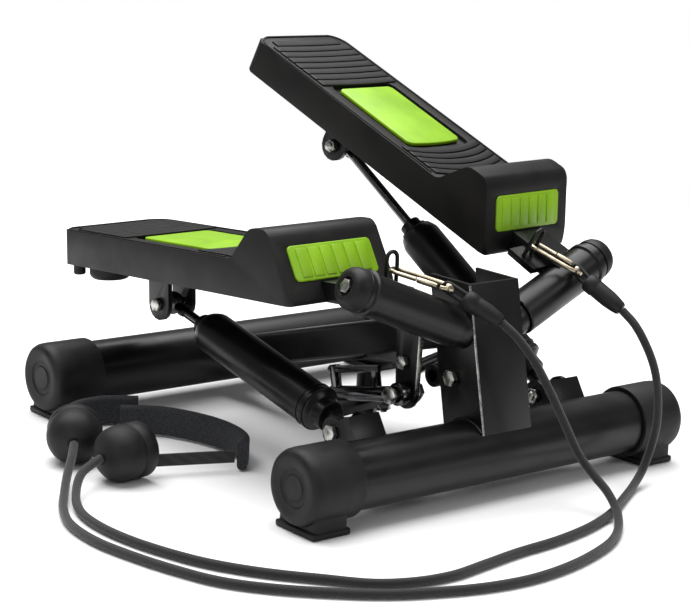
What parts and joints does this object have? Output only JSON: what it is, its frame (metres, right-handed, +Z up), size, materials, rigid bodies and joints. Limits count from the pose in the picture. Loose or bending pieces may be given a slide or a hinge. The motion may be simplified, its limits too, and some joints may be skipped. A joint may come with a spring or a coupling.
{
  "type": "mini stepper",
  "caption": "Twist mini stepper: two lever-linked pedals on hydraulic dampers over a low steel base, with elastic exercise bands clipped under the toes and their handles lying on the floor.",
  "frame": {"origin": "on the floor, at the middle of the box around the stepper and its handles, the free cords left out", "axes": "+X to the right of a person facing the post, +Y from the post towards the heels, +Z up"},
  "size_m": [0.5131, 0.5276, 0.3122],
  "materials": {
    "powder_black": "satin black powder coat",
    "moulded_black": "fine matt moulded texture",
    "rubber_black": "matt moulded rubber",
    "lime_green": "satin moulded lime green",
    "zinc_steel": "bright zinc plate",
    "snap_metal": "worn warm nickel plate",
    "braid": "woven black sleeve over latex",
    "foam": "soft dark grey foam"
  },
  "bodies": {
    "frame": {"front_cross_tube": "powder_black", "rear_cross_tube": "powder_black", "front_left_cap": "rubber_black", "front_right_cap": "rubber_black", "rear_left_cap": "rubber_black", "rear_right_cap": "rubber_black", "spine_tube": "powder_black", "front_post": "powder_black", "post_cross_bolt": "zinc_steel", "post_rear_bush": "powder_black", "rocker_hanger": "powder_black", "left_damper_fork": "powder_black", "left_fork_bolt": "zinc_steel", "left_pivot_shaft": "zinc_steel", "left_band_cord": "braid", "left_handle_bell": "rubber_black", "left_handle_grip": "foam", "right_damper_fork": "powder_black", "right_fork_bolt": "zinc_steel", "right_pivot_shaft": "zinc_steel", "right_band_cord": "braid", "right_handle_bell": "rubber_black", "right_handle_grip": "foam"},
    "rocker": {"rocker": "powder_black"},
    "left_pedal": {"left_pivot_sleeve": "powder_black", "left_sleeve_end_cap": "moulded_black", "left_pivot_bolt": "zinc_steel", "left_pedal_deck": "moulded_black", "left_deck_inset": "lime_green", "left_toe_panel": "lime_green", "left_heel_pad": "rubber_black", "left_pedal_arm": "powder_black", "left_clevis_bolt": "zinc_steel", "left_lever": "powder_black", "left_lever_bolt": "zinc_steel", "left_lever_pin": "zinc_steel", "left_band_eye": "zinc_steel", "left_snap_hook": "snap_metal", "left_band_boot": "rubber_black"},
    "left_damper": {"left_damper_barrel": "powder_black"},
    "left_rod": {"left_damper_rod": "zinc_steel"},
    "left_link": {"left_link": "zinc_steel"},
    "right_pedal": {"right_pivot_sleeve": "powder_black", "right_sleeve_end_cap": "moulded_black", "right_pivot_bolt": "zinc_steel", "right_pedal_deck": "moulded_black", "right_deck_inset": "lime_green", "right_toe_panel": "lime_green", "right_heel_pad": "rubber_black", "right_pedal_arm": "powder_black", "right_clevis_bolt": "zinc_steel", "right_lever": "powder_black", "right_lever_bolt": "zinc_steel", "right_lever_pin": "zinc_steel", "right_band_eye": "zinc_steel", "right_snap_hook": "snap_metal", "right_band_boot": "rubber_black"},
    "right_damper": {"right_damper_barrel": "powder_black"},
    "right_rod": {"right_damper_rod": "zinc_steel"},
    "right_link": {"right_link": "zinc_steel"}
  },
  "joints": [
    {"name": "left_pedal_pivot", "type": "hinge", "parent": "frame", "child": "left_pedal", "pos_m": [-0.10078, -0.14395, 0.1686], "axis": [0.9283, -0.0861, -0.3616], "range_deg": [0, 30], "deforming": ["left_band_cord"]},
    {"name": "right_pedal_pivot", "type": "hinge", "parent": "frame", "child": "right_pedal", "pos_m": [0.16322, -0.14395, 0.1686], "axis": [0.9283, 0.0861, 0.3616], "range_deg": [-30, 0], "deforming": ["right_band_cord"]},
    {"name": "left_damper_foot", "type": "hinge", "parent": "frame", "child": "left_damper", "pos_m": [-0.07378, -0.12445, 0.053], "axis": [0.9315, 0.0885, -0.3529], "range_deg": [0, 27.5]},
    {"name": "right_damper_foot", "type": "hinge", "parent": "frame", "child": "right_damper", "pos_m": [0.13622, -0.12445, 0.053], "axis": [0.9315, -0.0885, 0.3529], "range_deg": [-27.5, 0]},
    {"name": "left_rod_slide", "type": "slide", "parent": "left_damper", "child": "left_rod", "axis": [-0.0109, 0.9763, 0.216], "range_m": [0, 0.0508]},
    {"name": "right_rod_slide", "type": "slide", "parent": "right_damper", "child": "right_rod", "axis": [-0.158, 0.7755, 0.6113], "range_m": [-0.0508, 0]},
    {"name": "left_link_pin", "type": "hinge", "parent": "left_pedal", "child": "left_link", "pos_m": [-0.02278, -0.12245, 0.073], "axis": [0.9283, -0.0861, -0.3616], "range_deg": [-48.2, 0]},
    {"name": "right_link_pin", "type": "hinge", "parent": "right_pedal", "child": "right_link", "pos_m": [0.07459, -0.09627, 0.09405], "axis": [0.9283, 0.0861, 0.3616], "range_deg": [0, 46.8]},
    {"name": "rocker_pivot", "type": "hinge", "parent": "frame", "child": "rocker", "pos_m": [0.03122, -0.02345, 0.035], "axis": [0, 0, 1], "range_deg": [-19.8, 0]}
  ],
  "couplings": [
    {"joint": "right_pedal_pivot", "follows": "left_pedal_pivot", "ratio": -1},
    {"joint": "left_damper_foot", "follows": "left_pedal_pivot", "ratio": 0.91488},
    {"joint": "right_damper_foot", "follows": "left_pedal_pivot", "ratio": -0.91488},
    {"joint": "left_rod_slide", "follows": "left_pedal_pivot", "m_per_rad": 0.096943},
    {"joint": "right_rod_slide", "follows": "left_pedal_pivot", "m_per_rad": -0.096943},
    {"joint": "left_link_pin", "follows": "left_pedal_pivot", "ratio": -1.6048},
    {"joint": "right_link_pin", "follows": "left_pedal_pivot", "ratio": 1.5571},
    {"joint": "rocker_pivot", "follows": "left_pedal_pivot", "ratio": -0.6573}
  ]
}
